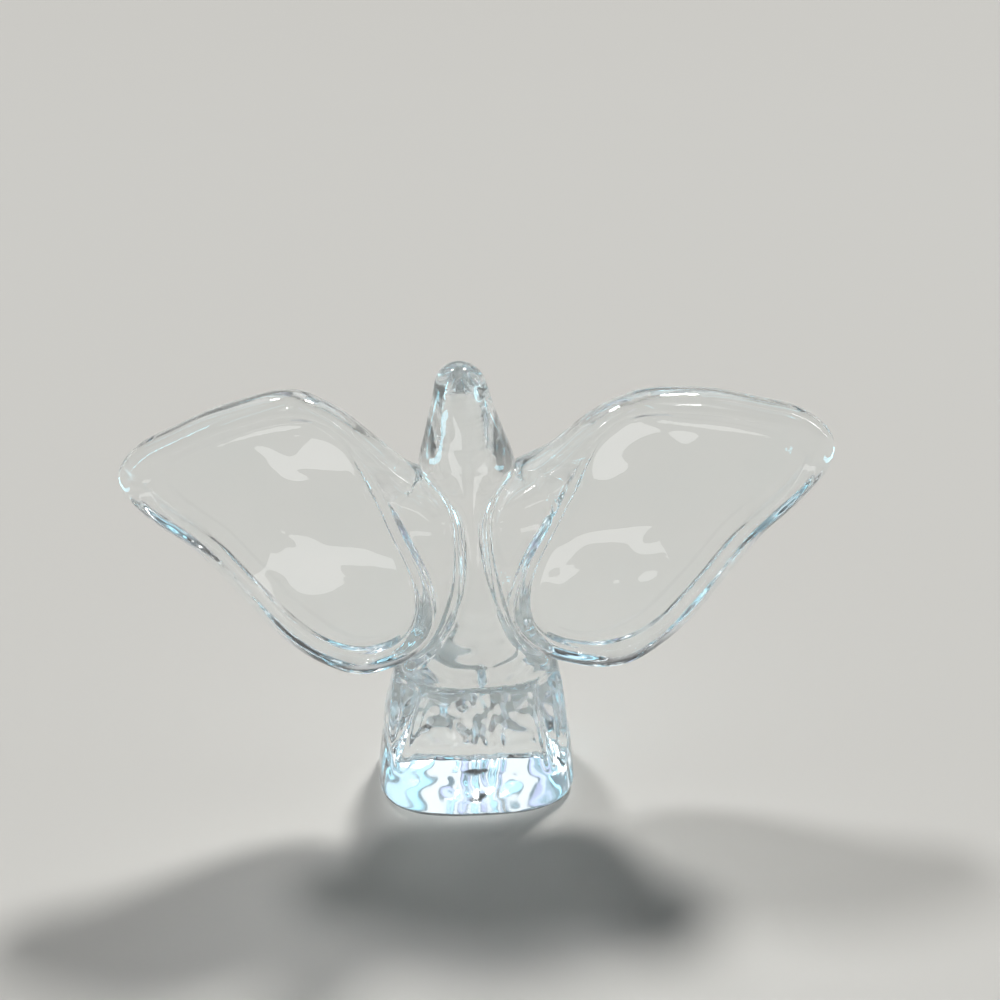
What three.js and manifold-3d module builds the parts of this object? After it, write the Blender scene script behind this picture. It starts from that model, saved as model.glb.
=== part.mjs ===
// Glass bird figurine with raised wings, hot-formed in clear crystal.
// Millimetres, +Z up, the bird faces -Y, and +X is the side on the right when it is seen from the front.

import * as THREE from "three";
import { mergeVertices } from "three/addons/utils/BufferGeometryUtils.js";
import Module from "manifold-3d";

const wasm = await Module();
wasm.setup();

// Joints between the gathers of glass
const seamGap = 0.3;

// Foot: a flared block
const footHeight = 33;
const footBaseHalf = 24.2;
const footTopHalf = 19.2;
const footBaseFront = -11;
const footBaseBack = 25;
const footTopFront = -4.2;
const footTopBack = 18.5;
const footSquareness = 3;
const footBaseRound = 2.6;
const footTopRound = 1;
// Pressed flats on its front corners: ends of their top edge and where they run out, as degrees from the side
const flatInnerTurn = 54;
const flatOuterTurn = 18;
const rightFlat = { tipTurn: 30, tipHeight: 12.5 };
const leftFlat = { tipTurn: 43, tipHeight: 15.5 };
// Polished hollow under the foot
const hollowRadius = 9;
const hollowDepth = 1.2;

// Torso: a slim body, flared at both ends, with its waist below the shoulder
const torsoHeight = 56;
const waistDrop = 12;
const skirtHalf = 18.6;
const waistHalf = 6.2;
const neckHalf = 11;
const skirtFront = -4;
const skirtBack = 18;
const waistFront = -8.4;
const waistBack = 12.6;
const neckFront = -8.2;
const neckBack = 10.6;

// Head: a cone with a round crown, leaning a little to one side
const headHeight = 23.2;
const crownRise = 5.7;
const browHalf = 5.6;
const browFront = -7.6;
const browBack = 4.6;
const leanDrop = 29;
const headLean = 3;
// Blunt beak, a low swelling on the front of the head below the crown
const beakDrop = 9.4;
const beakCentreY = -5.4;
const beakHalfWidth = 3.8;
const beakHalfHeight = 7;
const beakHalfLength = 3.8;
const beakLift = 0.1;

// Wings: flattened paddles with a round rim and a thick root
const rimHalf = 4.8;
const rootHalf = 9.3;
const panelHalf = 4;
const rootFullX = 9;
const rootEndX = 31;
const rootFullHeight = 43;
const rootEndHeight = 5;
const edgeRoundness = 0.88;
const wingY = 2.7;
const sweepBack = 6;
const sweepAtX = 77;
// Sloping step from the root down to the pressed panel: wide at its foot, narrow at its top
const stepFootX = 12;
const stepFootWidth = 4.4;
const stepTopX = 25;
const stepTopWidth = 2.2;
// Shallow fall from the rim to the panel
const rimFallX = 36;
const rimFallWidth = 5;

// Room on the rim: share of it that the round edge may take, and the least width of a round and of a fall
const roundShare = 0.6;
const leastRound = 2.4;
const leastFall = 0.5;

// Reach of each wing's tip from the middle of the bird
const rightReach = 80.4;
const leftReach = 76.8;

// Wing outlines and pressed panels, in order from the shoulder over the crest:
// x outward from the middle of the bird, z up from the top of the foot, the tips as measured from the reach
const rightWing = {
  middle: [42, 39],
  outline: [
    [10, 54.5],
    [16.3, 58],
    [23.4, 64.3],
    [31, 68.5],
    [45, 69.6],
    [rightReach - 18.9, 66.3],
    [rightReach - 5.4, 61],
    [rightReach, 53],
    [rightReach - 5, 44],
    [rightReach - 15.4, 33.3],
    [52.5, 16.3],
    [43, 6],
    [33, 1],
    [22.5, 2.7],
    [13, 6.5],
    [5, 12],
    [-1, 20],
    [-3, 34],
    [-1, 48],
  ],
  panel: [
    [30, 65],
    [45, 64],
    [rightReach - 19.4, 60.4],
    [rightReach - 9.9, 56],
    [rightReach - 7.2, 51.4],
    [rightReach - 11.9, 44.5],
    [rightReach - 21.4, 34.5],
    [47.5, 18.5],
    [39.5, 10.5],
    [31, 6.8],
    [21.5, 8],
    [14.5, 12],
    [12, 19],
    [13.2, 29],
    [17.6, 39],
    [22, 50],
  ],
};
const leftWing = {
  middle: [42, 39],
  outline: [
    [12.5, 53.3],
    [19.3, 59.6],
    [28.7, 68],
    [37, 71.4],
    [47.3, 69.4],
    [leftReach - 13.8, 62.8],
    [leftReach - 2.5, 55.6],
    [leftReach, 49.4],
    [leftReach - 4.8, 43],
    [leftReach - 15.3, 34],
    [52, 21.6],
    [41.8, 9.4],
    [32, 2.9],
    [26, 1.3],
    [20.5, 2.8],
    [13, 6.5],
    [5, 12],
    [-1, 20],
    [-3, 34],
    [-1, 48],
  ],
  panel: [
    [31.5, 66.6],
    [38, 66],
    [47.5, 63.8],
    [leftReach - 16.8, 58],
    [leftReach - 8.8, 53],
    [leftReach - 7, 49],
    [leftReach - 10.8, 44],
    [leftReach - 20.3, 36],
    [47.5, 24.5],
    [38, 13.4],
    [30, 8],
    [23.5, 8],
    [16.5, 11.5],
    [13.6, 18.5],
    [14, 27],
    [18, 38],
    [22.4, 50.5],
  ],
};

// Heights above the ground that follow from the sizes of the gathers
const shoulderHeight = footHeight + torsoHeight;
const waistHeight = shoulderHeight - waistDrop;
const crownHeight = shoulderHeight + headHeight;
const browHeight = crownHeight - crownRise;
const beakHeight = crownHeight - beakDrop;
const leanStart = shoulderHeight - leanDrop;

// Fineness of the surfaces
const stepsAround = 48;
const wingStepsAround = 76;
const roundSteps = 4;
const evenPasses = 3;

function mix(from, to, share) {
  return from + (to - from) * share;
}

function smooth(share) {
  const s = Math.min(Math.max(share, 0), 1);
  return s * s * (3 - 2 * s);
}

// Sideways lean of the body and head at a height
function leanAt(z) {
  return (-headLean * Math.max(z - leanStart, 0)) / (crownHeight - leanStart);
}

// Point of a level at a turn from the +X side, rounded by the level's squareness
function levelPoint({ z, half, front, back, power, x }, turn) {
  const c = Math.cos(turn);
  const s = Math.sin(turn);
  const reach = (Math.abs(c) ** power + Math.abs(s) ** power) ** (-1 / power);
  const middleY = (front + back) / 2;
  const deep = (back - front) / 2;
  return new THREE.Vector3(x + half * reach * c, middleY + deep * reach * s, z);
}

function levelRing(level) {
  const ring = [];
  for (let i = 0; i < stepsAround; i += 1) {
    ring.push(levelPoint(level, (2 * Math.PI * i) / stepsAround));
  }
  return ring;
}

// Closed skin over rings that follow one another, with a point in the middle of each end
function skin(rings, startPoint, endPoint) {
  const around = rings[0].length;
  const places = [];
  const faces = [];
  for (const ring of rings) {
    for (const p of ring) {
      places.push(p.x, p.y, p.z);
    }
  }
  for (let k = 0; k + 1 < rings.length; k += 1) {
    for (let i = 0; i < around; i += 1) {
      const a = k * around + i;
      const b = k * around + ((i + 1) % around);
      faces.push(a, b, b + around, a, b + around, a + around);
    }
  }
  const start = rings.length * around;
  const last = start - around;
  places.push(startPoint.x, startPoint.y, startPoint.z, endPoint.x, endPoint.y, endPoint.z);
  for (let i = 0; i < around; i += 1) {
    const next = (i + 1) % around;
    faces.push(start, next, i, start + 1, last + i, last + next);
  }
  const geometry = new THREE.BufferGeometry();
  geometry.setAttribute("position", new THREE.Float32BufferAttribute(places, 3));
  geometry.setIndex(faces);
  return geometry;
}

// Stack of level rings made into a skin, closed flat at both ends
function levelSkin(levels) {
  const rings = levels.map(levelRing);
  const endOf = ({ x, front, back, z }) => new THREE.Vector3(x, (front + back) / 2, z);
  return skin(rings, endOf(levels[0]), endOf(levels[levels.length - 1]));
}

function toSolid(geometry) {
  const bare = geometry.clone();
  bare.deleteAttribute("normal");
  bare.deleteAttribute("uv");
  const merged = mergeVertices(bare, 1e-4);
  return new wasm.Manifold(
    new wasm.Mesh({
      numProp: 3,
      vertProperties: new Float32Array(merged.attributes.position.array),
      triVerts: new Uint32Array(merged.index.array),
    }),
  );
}

function toGeometry(solid) {
  const mesh = solid.getMesh();
  const geometry = new THREE.BufferGeometry();
  geometry.setAttribute("position", new THREE.BufferAttribute(mesh.vertProperties, 3));
  geometry.setIndex(new THREE.BufferAttribute(mesh.triVerts, 1));
  geometry.computeVertexNormals();
  return geometry;
}

// Level of the foot at a height, drawn in by an edge rounding
function footLevel(z, inset) {
  const share = z / footHeight;
  return {
    z,
    x: 0,
    power: footSquareness,
    half: mix(footBaseHalf, footTopHalf, share ** 1.3) - inset,
    front: mix(footBaseFront, footTopFront, share) + inset,
    back: mix(footBaseBack, footTopBack, share) - inset,
  };
}

function footBlock() {
  const levels = [];
  for (let i = 0; i <= roundSteps; i += 1) {
    const angle = (Math.PI / 2) * (i / roundSteps);
    const rise = footBaseRound * (1 - Math.cos(angle));
    levels.push(footLevel(rise, footBaseRound * (1 - Math.sin(angle))));
  }
  const sideSteps = 6;
  const sideTop = footHeight - footTopRound;
  for (let i = 1; i <= sideSteps; i += 1) {
    levels.push(footLevel(mix(footBaseRound, sideTop, i / sideSteps), 0));
  }
  for (let i = 1; i <= roundSteps; i += 1) {
    const angle = (Math.PI / 2) * (i / roundSteps);
    const rise = sideTop + footTopRound * Math.sin(angle);
    levels.push(footLevel(rise, footTopRound * (1 - Math.cos(angle))));
  }
  return toSolid(levelSkin(levels));
}

// Flat pressed on one front corner: the glass in front of a sloping plane is taken away
function pressFlat(solid, side, flat) {
  const onFoot = (height, turn) => {
    const point = levelPoint(footLevel(height, 0), THREE.MathUtils.degToRad(-turn));
    return point.setX(side * point.x);
  };
  const plane = new THREE.Plane().setFromCoplanarPoints(
    onFoot(footHeight, flatInnerTurn),
    onFoot(footHeight, flatOuterTurn),
    onFoot(flat.tipHeight, flat.tipTurn),
  );
  if (plane.normal.y < 0) {
    plane.negate();
  }
  return solid.trimByPlane(plane.normal.toArray(), -plane.constant);
}

// Tool that grinds the hollow: a shallow ball turned about its own axis, with a ring on the base
function hollowTool() {
  const ball = (hollowRadius ** 2 + hollowDepth ** 2) / (2 * hollowDepth);
  const rimAngle = Math.asin(hollowRadius / ball);
  const profile = [];
  for (let i = 0; i <= roundSteps + 1; i += 1) {
    const angle = (rimAngle * i) / roundSteps;
    profile.push(new THREE.Vector2(ball * Math.sin(angle), hollowDepth - ball * (1 - Math.cos(angle))));
  }
  profile.push(new THREE.Vector2(0, profile[roundSteps + 1].y));
  const tool = new THREE.LatheGeometry(profile.reverse(), stepsAround);
  tool.rotateX(Math.PI / 2);
  tool.translate(0, (footBaseFront + footBaseBack) / 2, 0);
  return toSolid(tool);
}

function footSolid() {
  const pressed = pressFlat(pressFlat(footBlock(), 1, rightFlat), -1, leftFlat);
  return pressed.subtract(hollowTool());
}

// Level of the torso at a height, grown by a clearance where it is used as a cutter
function torsoLevel(z, grow) {
  const down = Math.max((waistHeight - z) / (waistHeight - footHeight), 0);
  const up = Math.max((z - waistHeight) / (shoulderHeight - waistHeight), 0);
  const flare = (waist, skirt, neck, power) =>
    waist + (skirt - waist) * down ** power + (neck - waist) * up ** 1.6;
  return {
    z,
    x: leanAt(z),
    power: 2 + 0.6 * down ** 2,
    half: flare(waistHalf, skirtHalf, neckHalf, 2.3) + grow,
    front: flare(waistFront, skirtFront, neckFront, 2) - grow,
    back: flare(waistBack, skirtBack, neckBack, 2) + grow,
  };
}

function torsoBlock(grow) {
  const levels = [];
  const steps = 18;
  const bottom = footHeight + seamGap - grow;
  const top = shoulderHeight + grow;
  levels.push(torsoLevel(bottom, grow - footTopRound));
  levels.push(torsoLevel(bottom + footTopRound * 0.4, grow - footTopRound * 0.25));
  for (let i = 0; i <= steps; i += 1) {
    levels.push(torsoLevel(mix(bottom + footTopRound, top, i / steps), grow));
  }
  return toSolid(levelSkin(levels));
}

// Level of the head: a straight cone up to the brow, then a round crown
function headLevel(z, grow) {
  const bottom = shoulderHeight + seamGap;
  const cone = Math.min((z - bottom) / (browHeight - bottom), 1);
  const over = Math.max((z - browHeight) / (crownHeight - browHeight), 0);
  const crown = Math.sqrt(Math.max(1 - over ** 2, 0));
  const front = mix(neckFront, browFront, cone);
  const back = mix(neckBack, browBack, cone);
  const middleY = (front + back) / 2;
  return {
    z,
    x: leanAt(z),
    power: 2,
    half: mix(neckHalf, browHalf, cone ** 0.8) * crown + grow,
    front: mix(middleY, front, crown) - grow,
    back: mix(middleY, back, crown) + grow,
  };
}

function headCone(grow) {
  const levels = [];
  const coneSteps = 6;
  const crownSteps = 7;
  const bottom = shoulderHeight + seamGap;
  for (let i = 0; i <= coneSteps; i += 1) {
    levels.push(headLevel(mix(bottom, browHeight, i / coneSteps), grow));
  }
  for (let i = 1; i < crownSteps; i += 1) {
    const rise = (crownHeight - browHeight) * Math.sin((Math.PI / 2) * (i / crownSteps));
    levels.push(headLevel(browHeight + rise, grow));
  }
  levels[0].z -= grow;
  const rings = levels.map(levelRing);
  const first = levels[0];
  const last = levels[levels.length - 1];
  const start = new THREE.Vector3(first.x, (first.front + first.back) / 2, first.z);
  const end = new THREE.Vector3(last.x, (last.front + last.back) / 2, crownHeight + grow);
  return toSolid(skin(rings, start, end));
}

function headSolid() {
  const beak = new THREE.SphereGeometry(1, 32, 20);
  beak.rotateX(Math.PI / 2);
  beak.scale(beakHalfWidth, beakHalfLength, beakHalfHeight);
  beak.rotateX(-beakLift);
  beak.translate(leanAt(beakHeight), beakCentreY, beakHeight);
  return headCone(0).add(toSolid(beak));
}

// Turn from one direction back to another, between minus and plus half a turn
function turnBetween(from, to) {
  return Math.atan2(Math.sin(from - to), Math.cos(from - to));
}

// Distance from a wing's middle to a closed outline in each direction
function reachOf(points, middle) {
  const curve = new THREE.CatmullRomCurve3(
    points.map(([x, z]) => new THREE.Vector3(x, 0, z)),
    true,
    "centripetal",
  );
  const spots = curve.getPoints(points.length * 24).map((p) => {
    const dx = p.x - middle[0];
    const dz = p.z - middle[1];
    return { angle: Math.atan2(dz, dx), reach: Math.hypot(dx, dz) };
  });
  const slack = 1e-6;
  return (angle) => {
    for (let i = 0; i + 1 < spots.length; i += 1) {
      const turn = turnBetween(spots[i].angle, spots[i + 1].angle);
      const gone = turnBetween(spots[i].angle, angle);
      if (turn > 0 && gone > -slack && gone < turn + slack) {
        return mix(spots[i].reach, spots[i + 1].reach, gone / turn);
      }
    }
    return spots[0].reach;
  };
}

// Half the glass where nothing is pressed: thick at the root's shoulder, thin at the hem and the rim
function fullHalf(x, z) {
  const alongX = 1 - smooth((x - rootFullX) / (rootEndX - rootFullX));
  const alongZ = Math.min(Math.max((z - rootEndHeight) / (rootFullHeight - rootEndHeight), 0), 1);
  return mix(rimHalf, rootHalf, alongX * alongZ);
}

// Width of the step or fall that ends at the panel's edge
function fallWidthAt(x) {
  const alongStep = smooth((x - stepFootX) / (stepTopX - stepFootX));
  const alongRim = smooth((x - stepTopX) / (rimFallX - stepTopX));
  return mix(mix(stepFootWidth, stepTopWidth, alongStep), rimFallWidth, alongRim);
}

// Closed row of lengths with its jumps softened
function evenOut(lengths) {
  let row = lengths;
  for (let pass = 0; pass < evenPasses; pass += 1) {
    const before = row;
    row = before.map((length, i) => {
      const last = before[(i + before.length - 1) % before.length];
      const next = before[(i + 1) % before.length];
      return (last + 2 * length + next) / 4;
    });
  }
  return row;
}

function xAt(wing, angle, reach) {
  return wing.middle[0] + reach * Math.cos(angle);
}

function zAt(wing, angle, reach) {
  return wing.middle[1] + reach * Math.sin(angle);
}

// In each direction from a wing's middle, where its edge, its rounding, its step and its panel lie
function wingRows(wing) {
  const angles = Array.from({ length: wingStepsAround }, (_, i) => (-2 * Math.PI * i) / wingStepsAround);
  const edges = angles.map(reachOf(wing.outline, wing.middle));
  const panels = angles.map(reachOf(wing.panel, wing.middle));
  const rounds = evenOut(
    angles.map((angle, i) => {
      const half = fullHalf(xAt(wing, angle, edges[i]), zAt(wing, angle, edges[i]));
      const room = Math.max(roundShare * (edges[i] - panels[i]), leastRound);
      return Math.min(edgeRoundness * half, room);
    }),
  );
  const ends = edges.map((edge, i) => edge - rounds[i]);
  const nears = evenOut(panels.map((panel, i) => Math.min(panel, ends[i] - 2 * leastFall)));
  const falls = evenOut(
    nears.map((near, i) => near + fallWidthAt(xAt(wing, angles[i], near))).map((fall, i) => {
      return Math.min(fall, ends[i] - leastFall);
    }),
  );
  return angles.map((angle, i) => {
    const near = Math.min(nears[i], ends[i] - 2 * leastFall);
    const fall = Math.max(Math.min(falls[i], ends[i] - leastFall), near + leastFall);
    return { angle, edge: edges[i], round: rounds[i], end: ends[i], fall, near };
  });
}

// Places across a wing in one direction from its middle, from the edge inward, each with half the glass
function wingSection(wing, { angle, edge, round, end, fall, near }) {
  const full = (reach) => fullHalf(xAt(wing, angle, reach), zAt(wing, angle, reach));
  const section = [];
  const edgeSteps = 5;
  for (let i = 0; i < edgeSteps; i += 1) {
    const turn = (Math.PI / 2) * (i / edgeSteps);
    const reach = edge - round * (1 - Math.cos(turn));
    section.push({ reach, half: full(reach) * Math.sin(turn) });
  }
  for (const reach of [end, mix(end, fall, 0.5), fall]) {
    section.push({ reach, half: full(reach) });
  }
  section.push({ reach: near, half: panelHalf });
  section.push({ reach: near / 2, half: panelHalf });
  return section;
}

function wingBlock(wing) {
  const middleY = (x) => wingY + sweepBack * (x / sweepAtX) ** 2;
  const front = [];
  const back = [];
  for (const row of wingRows(wing)) {
    wingSection(wing, row).forEach(({ reach, half }, k) => {
      const x = xAt(wing, row.angle, reach);
      const z = footHeight + zAt(wing, row.angle, reach);
      front[k] = front[k] ?? [];
      back[k] = back[k] ?? [];
      front[k].push(new THREE.Vector3(x, middleY(x) - half, z));
      back[k].push(new THREE.Vector3(x, middleY(x) + half, z));
    });
  }
  const rings = [...front.slice(1).reverse(), front[0], ...back.slice(1)];
  const centreY = middleY(wing.middle[0]);
  const centreZ = footHeight + wing.middle[1];
  return skin(
    rings,
    new THREE.Vector3(wing.middle[0], centreY - panelHalf, centreZ),
    new THREE.Vector3(wing.middle[0], centreY + panelHalf, centreZ),
  );
}

// Wing on one side, cut back from the torso, the head and the foot by the joint
function wingSolid(wing, side) {
  let solid = toSolid(wingBlock(wing));
  if (side < 0) {
    solid = solid.mirror([1, 0, 0]);
  }
  const clearFoot = footHeight + seamGap;
  return solid
    .subtract(torsoBlock(seamGap))
    .subtract(headCone(seamGap))
    .trimByPlane([0, 0, 1], clearFoot);
}

function crystal() {
  return new THREE.MeshStandardMaterial({ color: 0xe6efed, roughness: 0.04, metalness: 0 });
}

function addPiece(group, name, solid) {
  const mesh = new THREE.Mesh(toGeometry(solid), crystal());
  mesh.name = name;
  group.add(mesh);
}

// Origin at the middle of the whole, on its base
function centreOnBase(group) {
  const box = new THREE.Box3().setFromObject(group);
  const middle = box.getCenter(new THREE.Vector3());
  for (const mesh of group.children) {
    mesh.geometry.translate(-middle.x, -middle.y, -box.min.z);
  }
}

const bird = new THREE.Group();
bird.name = "glass_bird_figurine";
addPiece(bird, "foot", footSolid());
addPiece(bird, "torso", torsoBlock(0));
addPiece(bird, "head", headSolid());
addPiece(bird, "left_wing", wingSolid(leftWing, -1));
addPiece(bird, "right_wing", wingSolid(rightWing, 1));
centreOnBase(bird);

export default bird;
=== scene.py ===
import bpy
import bmesh
import math
from mathutils import Matrix, Vector, geometry, noise


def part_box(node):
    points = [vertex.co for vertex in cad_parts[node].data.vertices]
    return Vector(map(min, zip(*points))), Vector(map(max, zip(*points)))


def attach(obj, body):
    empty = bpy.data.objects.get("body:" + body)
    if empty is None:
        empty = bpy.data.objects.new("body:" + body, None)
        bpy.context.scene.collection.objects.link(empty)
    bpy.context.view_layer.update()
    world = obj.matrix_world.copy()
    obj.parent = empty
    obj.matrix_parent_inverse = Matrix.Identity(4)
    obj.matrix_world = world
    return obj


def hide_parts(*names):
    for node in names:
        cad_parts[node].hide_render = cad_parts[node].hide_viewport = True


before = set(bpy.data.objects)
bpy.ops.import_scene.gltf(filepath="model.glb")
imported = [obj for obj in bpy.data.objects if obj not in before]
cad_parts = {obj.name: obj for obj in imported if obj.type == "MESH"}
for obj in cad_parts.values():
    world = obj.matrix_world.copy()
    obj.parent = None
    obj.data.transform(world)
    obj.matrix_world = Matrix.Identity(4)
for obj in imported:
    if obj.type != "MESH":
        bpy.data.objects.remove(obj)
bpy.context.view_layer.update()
scene = bpy.context.scene
scene.view_settings.view_transform = "Standard"

# the bird is shaped in millimetres about the middle of its body, then set on the CAD foot
footBehind = 0.007  # metres from the middle of the body back to the middle of the foot
footLow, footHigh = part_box("foot")
bodyAt = ((footLow.x + footHigh.x) / 2, (footLow.y + footHigh.y) / 2 - footBehind, 0)
birdPlace = Matrix.Translation(bodyAt) @ Matrix.Scale(0.001, 4)


def mix(a, b, share):
    return a + (b - a) * share


def smoothStep(share):
    s = min(max(share, 0.0), 1.0)
    return s * s * (3 - 2 * s)


def rise(value, start, length):  # from 0 at the start to 1 after the length
    return smoothStep((value - start) / length)


def quarterTurn(steps):
    return [math.pi / 2 * i / steps for i in range(steps + 1)]


def linearColour(hexCode, alpha=1.0):  # sRGB hex to linear
    parts = [int(hexCode[i:i + 2], 16) / 255 for i in (1, 3, 5)]
    return [c / 12.92 if c <= 0.04045 else ((c + 0.055) / 1.055) ** 2.4 for c in parts] + [alpha]


def newObject(name, bm):
    mesh = bpy.data.meshes.new(name)
    bm.to_mesh(mesh)
    bm.free()
    piece = bpy.data.objects.new(name, mesh)
    scene.collection.objects.link(piece)
    return piece


def loftRings(rings, crisp=None):  # a circle that is extruded from ring to ring and closed at both ends
    bm = bmesh.new()
    crease = bm.edges.layers.float.new("crease_edge")
    row = bmesh.ops.create_circle(bm, cap_ends=True, segments=len(rings[0]), radius=1)["verts"]
    edges = list(bm.edges)
    for v, place in zip(row, rings[0]):
        v.co = place
    for k, ring in enumerate(rings[1:], 1):
        grown = bmesh.ops.extrude_edge_only(bm, edges=edges)["geom"]
        fresh = {g for g in grown if isinstance(g, bmesh.types.BMVert)}
        row = [next(e.other_vert(v) for e in v.link_edges if e.other_vert(v) in fresh) for v in row]
        edges = [g for g in grown if isinstance(g, bmesh.types.BMEdge) and set(g.verts) <= fresh]
        for v, place in zip(row, ring):
            v.co = place
        for e in edges:
            e[crease] = crisp[k](e.verts[0].co) if crisp and k in crisp else 0
    bmesh.ops.contextual_create(bm, geom=edges)
    bmesh.ops.recalc_face_normals(bm, faces=bm.faces)
    return bm


def evaluated(bm, name, **modifiers):  # applies modifiers and gives the mesh back as a bmesh
    piece = newObject(name, bm)
    for kind, settings in modifiers.items():
        m = piece.modifiers.new(kind, kind)
        for key, value in settings.items():
            setattr(m, key, value)
    graph = bpy.context.evaluated_depsgraph_get()
    done = bpy.data.meshes.new_from_object(piece.evaluated_get(graph))
    old = piece.data
    bpy.data.objects.remove(piece)
    bpy.data.meshes.remove(old)
    out = bmesh.new()
    out.from_mesh(done)
    bpy.data.meshes.remove(done)
    return out


subdivided = {"levels": 3, "render_levels": 3}

# foot: flared block, ground flat below with a polished hollow, front corners pressed flat
foot = {
    "height": 33.0, "baseHalf": 24.3, "topHalf": 19.3, "baseFront": -11.0, "baseBack": 24.8,
    "topFront": -4.2, "topBack": 18.5, "square": 3.0, "sideBow": 1.3, "backBow": 1.3, "around": 40,
    "baseRound": 2.6, "baseIn": 1.2, "topRound": 1.0, "topIn": 4.0,  # rounded edges and the rings inside them
    "heights": (7, 13, 19, 25, 30),
    "hollow": 9.0, "hollowDepth": 0.5, "hollowShares": (0.3, 0.65, 0.92, 1.0, 1.1),
    "flatInner": 54, "flatOuter": 18, "rightTip": (30, 12.5), "leftTip": (43, 15.5),  # degrees, height
    "pressShare": 1.5, "pressMost": 1.1,  # slope of the sides of a flat and its depth
    "pressLip": (0.4, 0.45),  # height and width of the lip that the paddle raised
}


def levelPoint(level, turn):  # a rounded oblong at one height
    z, half, front, back, power, x = level
    c, s = math.cos(turn), math.sin(turn)
    reach = (abs(c) ** power + abs(s) ** power) ** (-1 / power)
    return Vector((x + half * reach * c, (front + back) / 2 + (back - front) / 2 * reach * s, z))


def levelRing(level, around):
    return [levelPoint(level, 2 * math.pi * i / around) for i in range(around)]


def footLevel(z, inset=0.0):
    f = foot
    s = max(z / f["height"], 0)
    half = mix(f["baseHalf"], f["topHalf"], s ** f["sideBow"]) - inset
    front = mix(f["baseFront"], f["topFront"], s) + inset
    back = mix(f["baseBack"], f["topBack"], s ** f["backBow"]) - inset
    return z, half, front, back, f["square"], 0


footMiddle = (foot["baseFront"] + foot["baseBack"]) / 2
footFlats = []  # a point and the normal of each pressed flat


def pressAt(co):  # how deep the paddle sank at a flat, and how smooth it left the glass
    half, front, back = footLevel(co.z)[1:4]
    turn = math.atan2((co.y - (front + back) / 2) / ((back - front) / 2), co.x / half)
    before = levelPoint(footLevel(co.z), turn)
    lip, width = foot["pressLip"]
    point, normal = next(flat for flat in footFlats if flat[0].x * co.x >= 0)
    over = (before - point).dot(normal)  # how much glass stood above the flat
    sunk = min(max(foot["pressShare"] * over, 0), foot["pressMost"])
    return sunk - lip * math.exp(-(over / width) ** 2), smoothStep(over / width)


def footForm():
    f = foot
    levels = []
    for share in f["hollowShares"]:  # hollow under the foot
        r = f["hollow"] * share
        levels.append((f["hollowDepth"] * max(1 - share ** 2, 0), r, footMiddle - r, footMiddle + r, 2, 0))
    levels.append(footLevel(0, f["baseRound"] + f["baseIn"]))
    for a in quarterTurn(4):  # rounded lower edge
        levels.append(footLevel(f["baseRound"] * (1 - math.cos(a)), f["baseRound"] * (1 - math.sin(a))))
    levels += [footLevel(z) for z in f["heights"]]
    for a in quarterTurn(3):  # rounded upper edge
        z = f["height"] - f["topRound"] * (1 - math.sin(a))
        levels.append(footLevel(z, f["topRound"] * (1 - math.cos(a))))
    levels.append(footLevel(f["height"], f["topIn"]))
    rings = [levelRing(level, f["around"]) for level in levels]
    bm = evaluated(loftRings(rings), "footForm", SUBSURF=subdivided)
    for side, tip in ((1, f["rightTip"]), (-1, f["leftTip"])):  # flats pressed on the front corners
        corners = ((f["height"], f["flatInner"]), (f["height"], f["flatOuter"]), (tip[1], tip[0]))
        places = [levelPoint(footLevel(z), math.radians(-turn)) for z, turn in corners]
        a, b, c = [place * Vector((side, 1, 1)) for place in places]
        normal = (b - a).cross(c - a).normalized()
        if normal.y > 0:
            normal.negate()
        footFlats.append((a, normal))
        geom = bm.verts[:] + bm.edges[:] + bm.faces[:]
        cut = bmesh.ops.bisect_plane(bm, geom=geom, plane_co=a, plane_no=normal, clear_outer=True)
        rim = [g for g in cut["geom_cut"] if isinstance(g, bmesh.types.BMEdge)]
        bmesh.ops.contextual_create(bm, geom=rim)
    return bm


# body: the torso flares from a slim waist to the foot and to the neck, then runs up into the head
body = {
    "footTop": 33.0, "shoulder": 89.0, "waist": 77.0, "crown": 112.3, "brow": 106.5,
    "half": (18.6, 6.2, 11.0, 5.6),  # at the skirt, waist, neck and brow
    "front": (-4.0, -8.4, -8.2, -7.6), "back": (18.0, 12.6, 10.6, 4.6),
    "skirtPowers": (2.3, 2, 2), "skirtSquare": 0.6, "neckPower": 1.6, "conePower": 0.8,
    "hem": ((29, 1.3), (33.05, 1.3), (33.5, 0.5), (34.3, 0.0)),  # notch above the foot: height, inset
    "heights": (36, 39, 43, 48, 54, 60, 66, 72, 77, 81, 84.5, 87.5),
    "headHeights": (90.5, 94, 98, 102, 105.5), "crownRings": 5, "crownSpread": 5.4,
    "leanFrom": 60.0, "lean": 3.0, "around": 36,
    "beakHeight": 102.9, "beakHalf": (4.8, 8.4), "beakRise": 0.25,  # half width and height of the swelling
    "beakFacing": 0.5,  # the swelling fades where the skin turns to the side
}


def leanAt(z):
    return -body["lean"] * max(z - body["leanFrom"], 0) / (body["crown"] - body["leanFrom"])


def torsoLevel(z, inset=0.0):
    b = body
    down = max((b["waist"] - z) / (b["waist"] - b["footTop"]), 0)
    up = max((z - b["waist"]) / (b["shoulder"] - b["waist"]), 0) ** b["neckPower"]
    sizes = []
    for row, power in zip((b["half"], b["front"], b["back"]), b["skirtPowers"]):
        skirt, waist, neck = row[:3]
        sizes.append(waist + (skirt - waist) * down ** power + (neck - waist) * up)
    half, front, back = sizes
    square = 2 + b["skirtSquare"] * min(down, 1) ** 2
    return z, half - inset, front + inset, back, square, leanAt(z)  # the notch leaves out the back


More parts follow.
